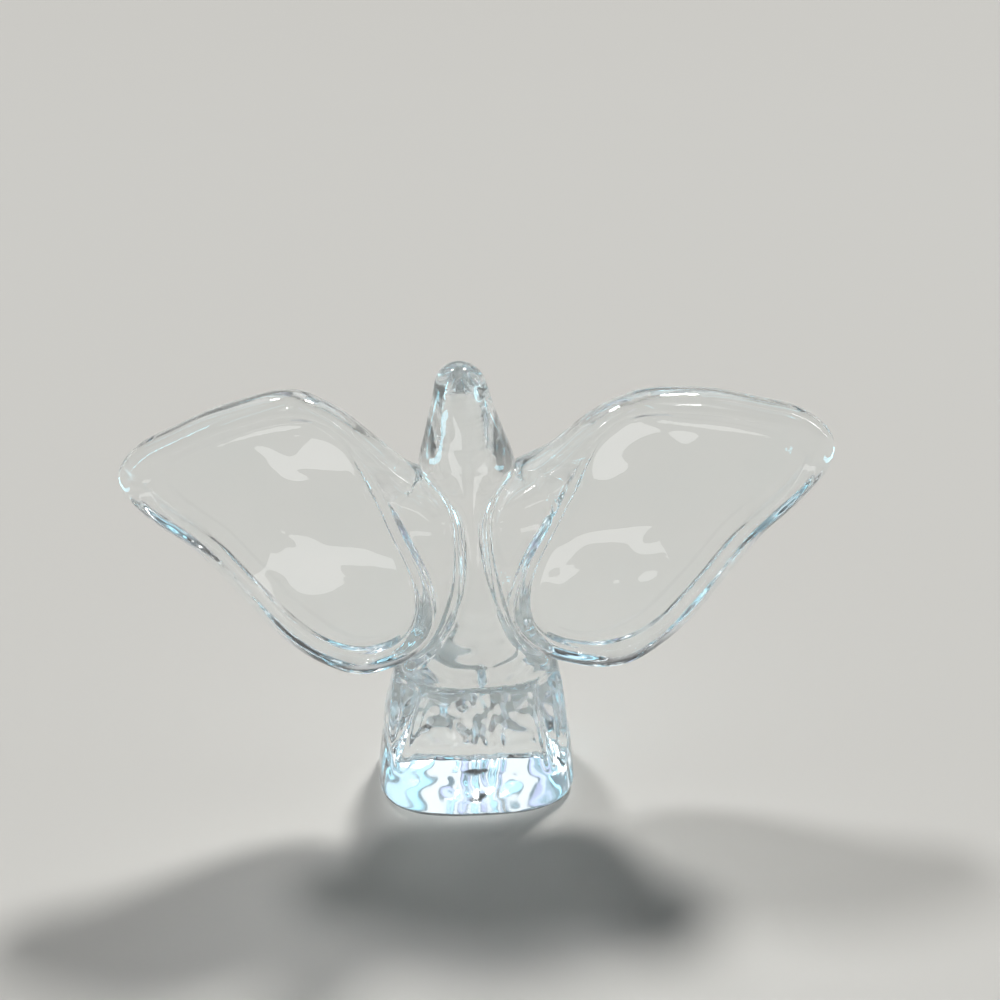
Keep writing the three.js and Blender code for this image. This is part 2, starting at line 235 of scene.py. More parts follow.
def headLevel(z):
    b = body
    cone = min((z - b["shoulder"]) / (b["brow"] - b["shoulder"]), 1)
    over = max((z - b["brow"]) / (b["crown"] - b["brow"]), 0)
    crown = math.sqrt(max(1 - over ** 2, 0))
    half = mix(b["half"][2], b["half"][3], cone ** b["conePower"]) * crown
    front = mix(b["front"][2], b["front"][3], cone)
    back = mix(b["back"][2], b["back"][3], cone)
    middle = (front + back) / 2
    deep = (back - front) / 2 * crown
    return z, half, middle - deep, middle + deep, 2, leanAt(z)


def bodyForm():
    b = body
    levels = [torsoLevel(z, inset) for z, inset in b["hem"]]
    levels += [torsoLevel(z) for z in b["heights"]]
    levels += [headLevel(z) for z in b["headHeights"]]
    for i in range(1, b["crownRings"] + 1):
        a = math.pi / 2 * i / b["crownSpread"]
        levels.append(headLevel(b["brow"] + (b["crown"] - b["brow"]) * math.sin(a)))
    rings = [levelRing(level, b["around"]) for level in levels]
    return evaluated(loftRings(rings), "bodyForm", SUBSURF=subdivided)


# wings: flattened paddles with a round rim, a pressed panel and a thick root, x outward and z up
wing = {
    "middle": (42.0, 72.0), "around": 76, "outlineSteps": 20, "beyond": 200.0,
    "y": 2.7, "sweep": 6.0, "sweepAt": 77.0,
    "rimHalf": 4.8, "rootHalf": 9.3, "rootX": (9.0, 31.0), "rootZ": (38.0, 76.0),
    "roundness": 0.88, "roundShare": 0.6, "leastRound": 2.4, "evening": 3,
    "panelHalf": 4.0, "dishHalf": 4.25, "dishFrom": (26.0, 14.0),  # outward the panel is a shallow dish
    "dishIn": 2.5, "dishShare": 0.45,
    "step": ((12.0, 4.4), (25.0, 2.2), (36.0, 5.0)),  # place along x and width of the step to the panel
    "outsidePanel": 1.0, "outsideStep": 0.4,  # the least glass between these and the rounded rim
    "crisp": 0.9, "crispFade": (20.0, 14.0),  # the step is sharp at the root
}
rightOutline = [(10, 87.5), (16.3, 91), (23.4, 97.3), (31, 101.5), (45, 102.6), (61.5, 99.3), (75, 94),
                (80.4, 86), (75.4, 77), (65, 66.3), (52.5, 49.3), (43, 39), (33, 34), (22.5, 35.7),
                (13, 39.5), (5, 45), (-1, 53), (-3, 67), (-1, 81)]
rightPanel = [(30, 98), (45, 97), (61, 93.4), (70.5, 89), (73.2, 84.4), (68.5, 77.5), (59, 67.5),
              (47.5, 51.5), (39.5, 43.5), (31, 39.8), (21.5, 41), (14.5, 45), (12, 52), (13.2, 62),
              (17.6, 72), (22, 83), (26.7, 93.8)]
leftOutline = [(12.5, 86.3), (19.3, 92.6), (28.7, 101), (37, 104.4), (47.3, 102.4), (63, 95.8),
               (74.3, 88.6), (76.8, 82.4), (72, 76), (61.5, 67), (52, 54.6), (41.8, 42.4), (32, 35.9),
               (26, 34.3), (20.5, 35.8), (13, 39.5), (5, 45), (-1, 53), (-3, 67), (-1, 81)]
leftPanel = [(31.5, 99.6), (38, 99), (47.5, 96.8), (60, 91), (68, 86), (69.8, 82), (66, 77), (56.5, 69),
             (47.5, 57.5), (38, 46.4), (30, 41), (23.5, 41), (16.5, 44.5), (13.6, 51.5), (14, 60), (18, 71),
             (22.4, 83.5), (28.3, 95.4)]


def smoothOutline(points):  # a closed curve with automatic handles through the points
    curve = bpy.data.curves.new("outline", "CURVE")
    curve.resolution_u = wing["outlineSteps"]
    spline = curve.splines.new("BEZIER")
    spline.bezier_points.add(len(points) - 1)
    spline.use_cyclic_u = True
    for bp, (x, z) in zip(spline.bezier_points, points):
        bp.co = (x, z, 0)
        bp.handle_left_type = bp.handle_right_type = "AUTO"
    holder = bpy.data.objects.new("outline", curve)
    scene.collection.objects.link(holder)
    graph = bpy.context.evaluated_depsgraph_get()
    dense = [v.co.to_2d() for v in holder.evaluated_get(graph).to_mesh().vertices]
    bpy.data.objects.remove(holder)
    bpy.data.curves.remove(curve)
    return dense


def spotAt(i, reach):  # x and z at a distance from the wing's middle
    a = -2 * math.pi * i / wing["around"]
    return wing["middle"][0] + reach * math.cos(a), wing["middle"][1] + reach * math.sin(a)


def reaches(points):  # distance from the wing's middle to the outline in each direction
    middle = Vector(wing["middle"])
    dense = smoothOutline(points)
    out = []
    for i in range(wing["around"]):
        far = Vector(spotAt(i, wing["beyond"]))
        hits = [geometry.intersect_line_line_2d(middle, far, a, b) for a, b in zip(dense[-1:] + dense, dense)]
        out.append(max((h - middle).length for h in hits if h))
    return out


def fullHalf(x, z):  # half the glass where nothing is pressed
    (x0, x1), (z0, z1) = wing["rootX"], wing["rootZ"]
    root = (1 - rise(x, x0, x1 - x0)) * min(max((z - z0) / (z1 - z0), 0), 1)
    return mix(wing["rimHalf"], wing["rootHalf"], root)


def stepWidth(x):
    (x0, w0), (x1, w1), (x2, w2) = wing["step"]
    return mix(mix(w0, w1, rise(x, x0, x1 - x0)), w2, rise(x, x1, x2 - x1))


def stepCrease(co):
    return wing["crisp"] * (1 - rise(abs(co.x), *wing["crispFade"]))


stepLines = {}  # for each side, how far the panel and the top of its step lie from the wing's middle


def evenOut(values, passes):  # a closed row of values with its jumps softened
    for _ in range(passes):
        values = [(values[i - 1] + 2 * v + values[(i + 1) % len(values)]) / 4 for i, v in enumerate(values)]
    return values


def wingSection(i, far, roundWidth, near, fall):  # distance from the middle and half the glass, rim to panel
    w = wing
    section = []
    for a in quarterTurn(6)[:-1]:  # rounded edge
        reach = far - roundWidth * (1 - math.cos(a))
        section.append((reach, fullHalf(*spotAt(i, reach)) * math.sin(a)))
    for reach in (far - roundWidth, (far - roundWidth + fall) / 2, fall):
        section.append((reach, fullHalf(*spotAt(i, reach))))
    edge = mix(w["panelHalf"], w["dishHalf"], rise(spotAt(i, near)[0], *w["dishFrom"]))
    section.append((near, edge))
    section.append((near - w["dishIn"], mix(edge, w["panelHalf"], w["dishShare"])))
    section.append((near / 2, w["panelHalf"]))
    return section


def wingForm(outline, panel, side):
    w = wing
    around = range(w["around"])
    outer, inner = reaches(outline), reaches(panel)
    rims = []
    for i in around:
        least = max(w["roundShare"] * (outer[i] - inner[i]), w["leastRound"])
        rims.append(min(w["roundness"] * fullHalf(*spotAt(i, outer[i])), least))
    rims = evenOut(rims, w["evening"])
    nears = [min(inner[i], outer[i] - rims[i] - w["outsidePanel"]) for i in around]
    nears = evenOut(nears, w["evening"])
    falls = []
    for i in around:
        width = stepWidth(spotAt(i, nears[i])[0])
        falls.append(min(nears[i] + width, outer[i] - rims[i] - w["outsideStep"]))
    falls = evenOut(falls, w["evening"])
    stepLines[side] = (nears, falls)
    sections = [wingSection(i, outer[i], rims[i], nears[i], falls[i]) for i in around]
    front, back = [[[] for _ in sections[0]] for _ in range(2)]
    for i, section in enumerate(sections):
        for k, (reach, half) in enumerate(section):
            x, z = spotAt(i, reach)
            y = w["y"] + w["sweep"] * (x / w["sweepAt"]) ** 2
            front[k].append(Vector((side * x, y - half, z)))
            back[k].append(Vector((side * x, y + half, z)))
    rings = front[:0:-1] + [front[0]] + back[1:]  # from the front panel over the rim to the back panel
    crisp = {k: stepCrease for k in (2, 3, len(rings) - 4, len(rings) - 3)}  # both edges of the step
    return evaluated(loftRings(rings, crisp), "wingForm", SUBSURF=subdivided)


# the gathers are fused while soft: one skin over all the forms, with the joints fire-polished
fusing = {"voxel": 0.4, "smoothing": 9, "factor": 0.5}
polishing = {  # passes, and where
    "valley": 8, "valleyHeights": (36, 95), "valleyReach": 3,
    "behind": 90, "behindX": (8, 34), "behindFrom": 74,
    "before": 24, "beforeX": (14, 25), "beforeFrom": 83,
    "head": 12, "headFrom": 90,
}


def fusedBird():
    parts = [footForm(), bodyForm()]
    parts += [wingForm(leftOutline, leftPanel, -1), wingForm(rightOutline, rightPanel, 1)]
    whole = bmesh.new()
    for bm in parts:
        step = bpy.data.meshes.new("step")
        bm.to_mesh(step)
        bm.free()
        whole.from_mesh(step)
        bpy.data.meshes.remove(step)
    bmesh.ops.triangulate(whole, faces=whole.faces)
    remesh = {"mode": "VOXEL", "voxel_size": fusing["voxel"], "adaptivity": 0.0}
    smooth = {"factor": fusing["factor"], "iterations": fusing["smoothing"]}
    return evaluated(whole, "fused", REMESH=remesh, SMOOTH=smooth)


def polish(bm, verts, passes):
    for _ in range(passes):
        bmesh.ops.smooth_vert(bm, verts=verts, factor=fusing["factor"],
                              use_axis_x=True, use_axis_y=True, use_axis_z=True)


def polishJoints(bm):  # the valleys, both sides of the shoulders and the head
    p = polishing
    low, high = p["valleyHeights"]
    valley = [v for v in bm.verts if low < v.co.z < high and abs(torsoEdge(v.co)) < p["valleyReach"]]
    polish(bm, valley, p["valley"])
    inner, outer = p["behindX"]
    behind = [v for v in bm.verts if inner < abs(v.co.x) < outer and v.co.z > p["behindFrom"]]
    polish(bm, [v for v in behind if v.normal.y > 0], p["behind"])
    inner, outer = p["beforeX"]
    before = [v for v in bm.verts if inner < abs(v.co.x) < outer and v.co.z > p["beforeFrom"]]
    polish(bm, [v for v in before if v.normal.y <= 0], p["before"])
    top = [v for v in bm.verts if v.co.z > p["headFrom"]]
    polish(bm, [v for v in top if abs(v.co.x - leanAt(v.co.z)) < seams["headReach"]], p["head"])


# tool work in the skin: a pair named rise, fade, out or up is where it starts and over what length
tools = {
    "waves": ((19.0, 0.24), (8.0, 0.06)),  # length and height
    "waveSquash": 1.6,  # how much closer the waves lie in depth
    "calmBase": 4.0,  # the waves grow from the ground base to this height
    "strokeShift": 7,
    "flutes": ((7.5, 40.0, 0.3), (4.0, 22.0, 0.09)),  # width, length and depth of the strokes on the foot
    "fluteTop": 35.0, "fluteFade": (26.0, 9.0),
    "pressTop": 33.5, "pressRise": (9.0, 4.0), "pressFade": (31.0, 2.5), "pressCalm": 0.9,
    "pleats": ((3.8, 55.0, 1.4), (2.6, 5.0, 0.5), (1.5, 2.6, 0.1)),  # the same for the folds down its back
    "pleatTop": 56.0, "pleatRise": (8.0, 8.0), "pleatFade": (24.0, 32.0), "pleatReach": 3.0,
    "hollowTop": 3.0, "hollowOut": (1.0, 5.0),  # no folds in the hollow
    "facing": 0.2,  # the least turn of the skin to the front or the back
    "groove": (0.9, 1.3),  # depth and width of the tooled line between the body and each wing
    "grooveRise": (34.0, 5.0), "grooveFade": (83.0, 6.0),
    "lip": (0.45, 0.1, 0.8),  # glass that the paddle pushed up along the step: at the root, at the rim, width
    "lipFrom": 7.0, "lipOut": (20.0, 16.0), "lipUp": (76.0, 8.0),
    "lipRise": (0.4, 0.5), "lipFade": (64.0, 8.0),  # with the turn to the front or back, and up the back
    "markDepth": 0.45, "markWidth": 0.8, "markHeights": (74, 92), "markFrom": 6.0, "markRise": (0.5, 0.4),
}
pinchMarks = (((14.0, 86.5), (15.6, 82.5), (16.9, 77.5)), ((-14.3, 85.8), (-11.4, 83.6), (-9.0, 80.4)))
pinchLines = [[Vector((x, 0, z)) for x, z in line] for line in pinchMarks]


def strokesAt(co, strokes):  # long ridges that run down the foot
    shift = tools["strokeShift"]
    return sum(depth * noise.noise(Vector((co.x / across, co.y / across, co.z / along + shift)))
               for across, along, depth in strokes)


def waveAt(co, n):  # waves of the hand tools, and strokes on the foot
    t = tools
    place = Vector((co.x, co.y * t["waveSquash"], co.z))
    lift = sum(height * noise.noise(place / length) for length, height in t["waves"])
    if co.z < t["fluteTop"]:
        upright = 1 - abs(n.z)
        lift += upright * strokesAt(co, t["flutes"]) * (1 - rise(co.z, *t["fluteFade"]))
    return lift * smoothStep(co.z / t["calmBase"])


def pressedLift(co, lift):  # a flat on the foot sinks and loses its waves
    pressed, calm = pressAt(co)
    ends = (1 - rise(co.z, *tools["pressFade"])) * rise(co.z, *tools["pressRise"])
    return lift * (1 - tools["pressCalm"] * calm * ends) - pressed * ends


def lipAt(co):  # the lip and the furrow along the step to a panel
    atRoot, atRim, width = tools["lip"]
    x, z = abs(co.x) - wing["middle"][0], co.z - wing["middle"][1]
    place = (-math.atan2(z, x) / (2 * math.pi) % 1) * wing["around"]
    i, share = int(place) % wing["around"], place % 1
    after = (i + 1) % wing["around"]
    near, fall = [mix(row[i], row[after], share) for row in stepLines[1 if co.x > 0 else -1]]
    reach = math.hypot(x, z)
    soft = max(rise(abs(co.x), *tools["lipOut"]), rise(co.z, *tools["lipUp"]))
    ridge = math.exp(-((reach - fall) / width) ** 2)
    furrow = math.exp(-((reach - near) / width) ** 2)
    return mix(atRoot, atRim, soft) * (ridge - furrow)


def jointAt(co, n):  # the groove beside the body, and the lip of the panel
    t = tools
    edge = torsoEdge(co)
    depth, width = t["groove"]
    ends = rise(co.z, *t["grooveRise"]) * (1 - rise(co.z, *t["grooveFade"]))
    lift = -depth * ends * math.exp(-(edge / width) ** 2)
    if edge > 0 and abs(co.x) > t["lipFrom"]:
        behind = 1 if n.y < 0 else 1 - rise(co.z, *t["lipFade"])
        lift += lipAt(co) * rise(abs(n.y), *t["lipRise"]) * behind
    return lift


def lineDistance(spot, a, b):  # from a point to the stretch between two others
    share = geometry.intersect_point_line(spot, a, b)[1]
    return (spot - a.lerp(b, min(max(share, 0), 1))).length


def markAt(co, n):  # a pinch mark at each shoulder
    spot = Vector((co.x, 0, co.z))
    lift = 0
    for line in pinchLines:
        near = min(lineDistance(spot, a, b) for a, b in zip(line, line[1:]))
        lift -= tools["markDepth"] * math.exp(-(near / tools["markWidth"]) ** 2)
    return lift * rise(-n.y, *tools["markRise"])


def foldAt(co):  # folds run level with the base, which stays flat
    t = tools
    away = Vector((co.x, co.y - footMiddle, 0))
    fold = strokesAt(co, t["pleats"]) * rise(co.y, *t["pleatRise"]) * (1 - rise(co.z, *t["pleatFade"]))
    if co.z < t["hollowTop"]:
        start, length = t["hollowOut"]
        fold *= rise(away.length, foot["hollow"] + start, length)
    return away.normalized() * fold


def beakAt(co, n):  # how far the beak stands out
    wide, tall = body["beakHalf"]
    swell = 1 - ((co.x - leanAt(co.z)) / wide) ** 2 - ((co.z - body["beakHeight"]) / tall) ** 2
    if swell <= 0 or n.y >= 0:
        return 0
    return body["beakRise"] * swell ** 2 * smoothStep(-n.y / body["beakFacing"])


def toolMove(co, n):  # how far the tools moved one point of the skin
    t = tools
    lift = waveAt(co, n)
    if t["pressRise"][0] < co.z < t["pressTop"] and n.y < 0:
        lift = pressedLift(co, lift)
    if co.z > t["grooveRise"][0] and abs(n.y) > t["facing"]:
        lift += jointAt(co, n)
    low, high = t["markHeights"]
    if n.y < -t["facing"] and low < co.z < high and abs(co.x) > t["markFrom"]:
        lift += markAt(co, n)
    move = n * lift
    if co.z < t["pleatTop"] and co.y > t["pleatRise"][0] and torsoEdge(co) < t["pleatReach"]:
        move += foldAt(co)
    move.y -= beakAt(co, n)
    return move


def handWork(bm):
    polishJoints(bm)
    bm.normal_update()
    moves = [toolMove(v.co, v.normal) for v in bm.verts]
    for v, move in zip(bm.verts, moves):
        v.co += move


# seams: the fused skin is parted again into the five gathers, and each cut is closed by unseen faces
seams = {
    "foot": 33.15, "footReach": 40.0, "head": 89.15, "headReach": 12.7,
    "waistHalf": 4.0, "skirtFlare": 16.5, "skirtPower": 3, "neckFlare": 6.0,
    "band": 4.0, "margin": 0.1, "onPlane": 1e-5, "leastShare": 0.02, "shortest": 0.03,
}


def torsoEdge(co):  # below zero inside the torso, above zero in a wing
    b, s = body, seams
    down = max((b["waist"] - co.z) / (b["waist"] - b["footTop"]), 0)
    up = max((co.z - b["waist"]) / (b["shoulder"] - b["waist"]), 0)
    skirt = s["skirtFlare"] * down ** s["skirtPower"]
    neck = s["neckFlare"] * up ** b["neckPower"]
    return abs(co.x - leanAt(co.z)) - s["waistHalf"] - skirt - neck


def gatherOf(co):
    if co.z < seams["foot"]:
        return "foot"
    if co.z > seams["head"] and abs(co.x - leanAt(co.z)) < seams["headReach"]:
        return "head"
    if torsoEdge(co) < 0 and co.z < seams["head"]:
        return "torso"
    return "right_wing" if co.x > 0 else "left_wing"


def scoreSeams(bm):  # edges along every seam
    s = seams
    for height, reach in ((s["foot"], s["footReach"]), (s["head"], s["headReach"])):
        band = [v for v in bm.verts if abs(v.co.z - height) < s["band"]]
        near = [v for v in band if abs(v.co.x - leanAt(v.co.z)) < reach]
        faces = list(dict.fromkeys(f for v in near for f in v.link_faces))
        geom = faces + list(dict.fromkeys(e for f in faces for e in f.edges))
        geom += list(dict.fromkeys(v for f in faces for v in f.verts))
        bmesh.ops.bisect_plane(bm, geom=geom, plane_co=(0, 0, height), plane_no=(0, 0, 1), dist=s["onPlane"])
    low, high = s["foot"] - s["margin"], s["head"] + s["margin"]
    crossing = []
    for e in bm.edges:
        a, b = e.verts[0].co, e.verts[1].co
        if low < a.z < high and torsoEdge(a) * torsoEdge(b) < 0:
            crossing.append(e)
    fresh = []
    for e in crossing:
        a, b = torsoEdge(e.verts[0].co), torsoEdge(e.verts[1].co)
        share = min(max(a / (a - b), s["leastShare"]), 1 - s["leastShare"])
        fresh.append(bmesh.utils.edge_split(e, e.verts[0], share)[1])
    bmesh.ops.connect_verts(bm, verts=fresh)
    bmesh.ops.dissolve_degenerate(bm, dist=s["shortest"], edges=bm.edges)  # no slivers along the seams


def islandsOf(bm, owners):  # patches of joined faces that belong to one gather, the largest first
    seen, islands = set(), []
    for f in bm.faces:
        if f.index in seen:
            continue
        seen.add(f.index)
        island, todo = [f], [f]
        while todo:
            for e in todo.pop().edges:
                for g in e.link_faces:
                    if g.index not in seen and owners[g.index] == owners[f.index]:
                        seen.add(g.index)
                        island.append(g)
                        todo.append(g)
        islands.append(island)
    return sorted(islands, key=len, reverse=True)


def firstOwners(bm):
    bm.faces.index_update()
    return [gatherOf(f.calc_center_median()) for f in bm.faces]


def othersBeside(f, owners):  # the other gathers that a face shares an edge with, once for each edge
    across = [owners[g.index] for e in f.edges for g in e.link_faces]
    return [name for name in across if name != owners[f.index]]


def gatherFaces(bm):  # the gather of each face, with loose patches given to the gather round them
    owners = firstOwners(bm)
    border = [f for f in bm.faces if len({owners[g.index] for v in f.verts for g in v.link_faces}) > 1]
    bmesh.ops.triangulate(bm, faces=border)
    owners = firstOwners(bm)
    loose = True
    while loose:  # a face that hangs on by one edge goes to the gather beside it
        loose = False
        for f in bm.faces:
            beside = othersBeside(f, owners)
            if beside and beside.count(beside[0]) > len(f.edges) - len(beside):
                owners[f.index] = beside[0]
                loose = True
    islands = islandsOf(bm, owners)
    while len(islands) > len(set(owners)):
        kept = set()
        for island in islands:
            name = owners[island[0].index]
            if name not in kept:
                kept.add(name)
                continue
            around = [other for f in island for other in othersBeside(f, owners)]
            fresh = max(sorted(set(around)), key=around.count)
            for f in island:
                owners[f.index] = fresh
        print("patches", len(islands))
        islands = islandsOf(bm, owners)
    return owners


def closeRims(part):
    rim = [e for e in part.edges if e.is_boundary]
    while rim:  # one loop at a time
        loop, todo = {rim[0]: True}, [rim[0]]
        while todo:
            for v in todo.pop().verts:
                for e in v.link_edges:
                    if e.is_boundary and e not in loop:
                        loop[e] = True
                        todo.append(e)
        bmesh.ops.triangle_fill(part, edges=list(loop), use_beauty=True, use_dissolve=False)
        rim = [e for e in rim if e not in loop]


def partBird(bm):
    bm.normal_update()
    keep = bm.verts.layers.float_vector.new("skinNormal")
    for v in bm.verts:
        v[keep] = v.normal
    scoreSeams(bm)
    owners = gatherFaces(bm)
    pieces = {}
    for name in ("foot", "torso", "head", "left_wing", "right_wing"):
        part = bm.copy()
        away = [f for f, owner in zip(part.faces, owners) if owner != name]
        bmesh.ops.delete(part, geom=away, context="FACES")
        skinFaces = set(part.faces)
        closeRims(part)
        for f in part.faces:
            f.smooth = f in skinFaces
            f.material_index = 0 if f in skinFaces else 1
        bmesh.ops.recalc_face_normals(part, faces=part.faces)
        print(name, "faces", len(part.faces), "open edges", sum(not e.is_manifold for e in part.edges))
        pieces[name] = part
    bm.free()
    return pieces


def addNode(tree, kind, links=(), **settings):  # one node with its settings and what feeds it
    node = tree.nodes.new(kind)
    for key, value in settings.items():
        if key in node.inputs:
            node.inputs[key].default_value = value
        else:
            setattr(node, key, value)
    for source, target in links:
        tree.links.new(source, node.inputs[target])
    return node


def newMaterial(name):
    material = bpy.data.materials.new(name)
    material.use_nodes = True
    material.node_tree.nodes.clear()
    return material, material.node_tree


# lead crystal, drawn out hot, pressed with wet paddles and left fire-polished: colourless and wet-looking,
# with slow waves, faint cords along the draw and a thin film where fingers held it
crystal = {
    "tint": ("#FFFFFF", "#F7FCFC"), "ior": 1.545,
    "wave": (6.5, 0.010), "cord": (1.8, 16.0, 0.002),  # lengths and depths in mm
    "film": 15.0, "filmFrom": 0.52, "filmTo": 0.8, "filmRough": 0.02,
    "wear": (0.3, 1.4), "grit": 0.7, "wearRough": 0.16,  # the rim that stands on tables, mm up and grain
}


def noiseNode(tree, where, grain, detail):  # a noise whose grain is in mm
    return addNode(tree, "ShaderNodeTexNoise", links=[(where, "Vector")], Scale=1000 / grain, Detail=detail)


def crystalMaterial(name, worn):
    c = crystal
    material, tree = newMaterial(name)
    where = addNode(tree, "ShaderNodeTexCoord").outputs["Object"]
    length, height = c["wave"]
    waves = noiseNode(tree, where, length, 1.0)
    across, along, depth = c["cord"]
    stretch = (1000 / across, 1000 / across, 1000 / along)
    drawn = addNode(tree, "ShaderNodeMapping", links=[(where, "Vector")], Scale=stretch)
    cords = addNode(tree, "ShaderNodeTexNoise", links=[(drawn.outputs[0], "Vector")], Scale=1.0, Detail=2.0)
    soft = addNode(tree, "ShaderNodeBump", links=[(waves.outputs[0], "Height")], Distance=height / 1000)
    skin = addNode(tree, "ShaderNodeBump", links=[(cords.outputs[0], "Height"), (soft.outputs[0], "Normal")],
                   Distance=depth / 1000)
    film = noiseNode(tree, where, c["film"], 5.0)
    rough = addNode(tree, "ShaderNodeMapRange", links=[(film.outputs[0], "Value")], **{
        "From Min": c["filmFrom"], "From Max": c["filmTo"], "To Max": c["filmRough"]}).outputs[0]
    if worn:  # fine scratches on the rim of the base
        axes = addNode(tree, "ShaderNodeSeparateXYZ", links=[(where, 0)])
        low, high = c["wear"]
        rim = addNode(tree, "ShaderNodeMapRange", links=[(axes.outputs["Z"], "Value")], **{
            "From Min": low / 1000, "From Max": high / 1000, "To Min": c["wearRough"], "To Max": 0.0})
        grit = noiseNode(tree, where, c["grit"], 3.0)
        rough = addNode(tree, "ShaderNodeMath", links=[(rim.outputs[0], 0), (grit.outputs[0], 1), (rough, 2)],
                        operation="MULTIPLY_ADD").outputs[0]
    tint = addNode(tree, "ShaderNodeMix", links=[(film.outputs[0], "Factor")], data_type="RGBA")
    for socket, hexCode in zip((6, 7), c["tint"]):  # the two colours that are mixed
        tint.inputs[socket].default_value = linearColour(hexCode)
    glass = addNode(tree, "ShaderNodeBsdfPrincipled", links=[
        (tint.outputs[2], "Base Color"), (rough, "Roughness"), (skin.outputs[0], "Normal")],
        **{"IOR": c["ior"], "Transmission Weight": 1.0})
    addNode(tree, "ShaderNodeOutputMaterial", links=[(glass.outputs[0], "Surface")])
    return material


def seamMaterial():  # there is no surface inside fused glass, so the cut faces are clear
    material, tree = newMaterial("fusedJoint")
    clear = addNode(tree, "ShaderNodeBsdfTransparent")
    addNode(tree, "ShaderNodeOutputMaterial", links=[(clear.outputs[0], "Surface")])
    return material


def finishPiece(name, bm, materials):
    bmesh.ops.transform(bm, matrix=birdPlace, verts=bm.verts)
    piece = newObject(name + "_glass", bm)
    mesh = piece.data
    for m in materials:
        mesh.materials.append(m)
    skin = mesh.attributes["skinNormal"].data
    normals = []
    for poly in mesh.polygons:
        for li in poly.loop_indices:
            n = skin[mesh.loops[li].vertex_index].vector if poly.material_index == 0 else poly.normal
            normals.append(Vector(n).normalized())
    mesh.normals_split_custom_set(normals)
    mesh.attributes.remove(mesh.attributes["skinNormal"])
    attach(piece, "root")
    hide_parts(name)
    print(piece.name, "polygons", len(mesh.polygons))
    return piece


polished = crystalMaterial("firePolishedCrystal", False)
ground = crystalMaterial("groundFootCrystal", True)
joint = seamMaterial()
fused = fusedBird()
print("fused skin", len(fused.verts), "vertices")
handWork(fused)
print("hand work done")
for name, bm in partBird(fused).items():
    finishPiece(name, bm, [ground if name == "foot" else polished, joint])

# stage, in metres: a pale floor and horizon, a window of panes behind the bird, panes and lamps before it
stage = {"floor": "#CFCECA", "floorSize": 30.0, "floorRough": 0.85, "floorShine": 0.2}
airFilm = 0.00015  # under the foot
wallStops = ((0.50, 0.60), (0.535, 0.50), (0.60, 0.18), (0.74, 0.05))  # place from 0 down to 1 up, and grey
skyBlue, paleBlue, lilac, white = "#9CE0F4", "#C6E8FA", "#D2CDFF", "#FFFFFF"
panes = {"distance": 1.1, "wallDistance": 1.4, "aim": (0, 0, 0.02)}
windowPanes = (  # degrees round and up, width, height, glow, colour
    (-58, 44, 0.05, 0.7, 2.2, skyBlue), (-44, 43, 0.16, 0.5, 0.9, white), (-28, 44, 0.04, 0.7, 1.8, skyBlue),
    (-14, 43, 0.14, 0.5, 0.62, lilac), (2, 43, 0.22, 0.5, 0.8, white), (17, 44, 0.12, 0.5, 0.68, skyBlue),
    (33, 43, 0.28, 0.5, 0.9, paleBlue), (54, 44, 0.10, 0.6, 1.4, skyBlue))
frontPanes = (
    (228, 48, 0.06, 0.8, 2.5, skyBlue), (205, 50, 0.10, 0.7, 1.2, white), (182, 56, 0.05, 0.5, 1.5, lilac),
    (160, 48, 0.05, 0.8, 2.5, skyBlue), (135, 50, 0.12, 0.7, 1.2, white))
sidePanes = (
    (98, 43, 0.2, 0.5, 0.7, paleBlue), (82, 44, 0.04, 0.6, 2.0, white), (-84, 44, 0.04, 0.6, 2.0, skyBlue),
    (-100, 43, 0.2, 0.5, 0.7, paleBlue))
windowWall = [(turn, 43, 0.9, 0.75, 0.40, paleBlue) for turn in (-38, 0, 38)]
windowWall += [(turn, 43, 0.8, 0.7, 0.22, paleBlue) for turn in (142, 180, 218)]
suns = (  # name, place, strength, width in degrees, colour
    ("keyLight", (3.75, 6.4, 10.5), 2.2, 10, "#FFFEFC"), ("secondLight", (-3.75, 4.4, 9.0), 1.15, 9.4, white))
lampAim = (0, 0, 0.06)
lamps = (  # name, place, size, glow, colour
    ("leftStrip", (-0.75, -0.25, 0.35), (0.03, 0.5), 21, skyBlue),
    ("rightStrip", (0.8, 0.15, 0.4), (0.03, 0.5), 21, white),
    ("leftSpark", (-0.3, -0.6, 0.8), (0.05, 0.05), 50, white),
    ("rightSpark", (0.45, -0.5, 0.7), (0.05, 0.05), 50, white))
cardUp = 0.004  # the cards lie just above the floor
frontCards = (  # name, x to either side, y, size, glow
    ("lowCard", 0.105, -0.19, (0.13, 0.03), 2.4), ("nearCard", 0.055, -0.11, (0.05, 0.012), 2.1))
sideCards = (("leftCard", -0.25), ("rightCard", 0.25))
sideCard = {"y": 0.02, "size": (0.05, 0.3), "glow": 7}


def studioFloor():
    bm = bmesh.new()
    bmesh.ops.create_grid(bm, x_segments=1, y_segments=1, size=stage["floorSize"] / 2)
    bmesh.ops.translate(bm, vec=(0, 0, -airFilm), verts=bm.verts)
    floor = newObject("floor", bm)
    material, tree = newMaterial("paleFloor")
    matt = addNode(tree, "ShaderNodeBsdfPrincipled", **{
        "Base Color": linearColour(stage["floor"]), "Roughness": stage["floorRough"],
        "Specular IOR Level": stage["floorShine"]})
    addNode(tree, "ShaderNodeOutputMaterial", links=[(matt.outputs[0], "Surface")])
    floor.data.materials.append(material)


def newLamp(name, kind, place, aim, colour):
    light = bpy.data.lights.new(name, kind)
    light.color = linearColour(colour)[:3]
    lamp = bpy.data.objects.new(name, light)
    lamp.location = place
    lamp.rotation_euler = (Vector(aim) - Vector(place)).to_track_quat("-Z", "Y").to_euler()
    lamp.visible_camera = False
    scene.collection.objects.link(lamp)
    return lamp


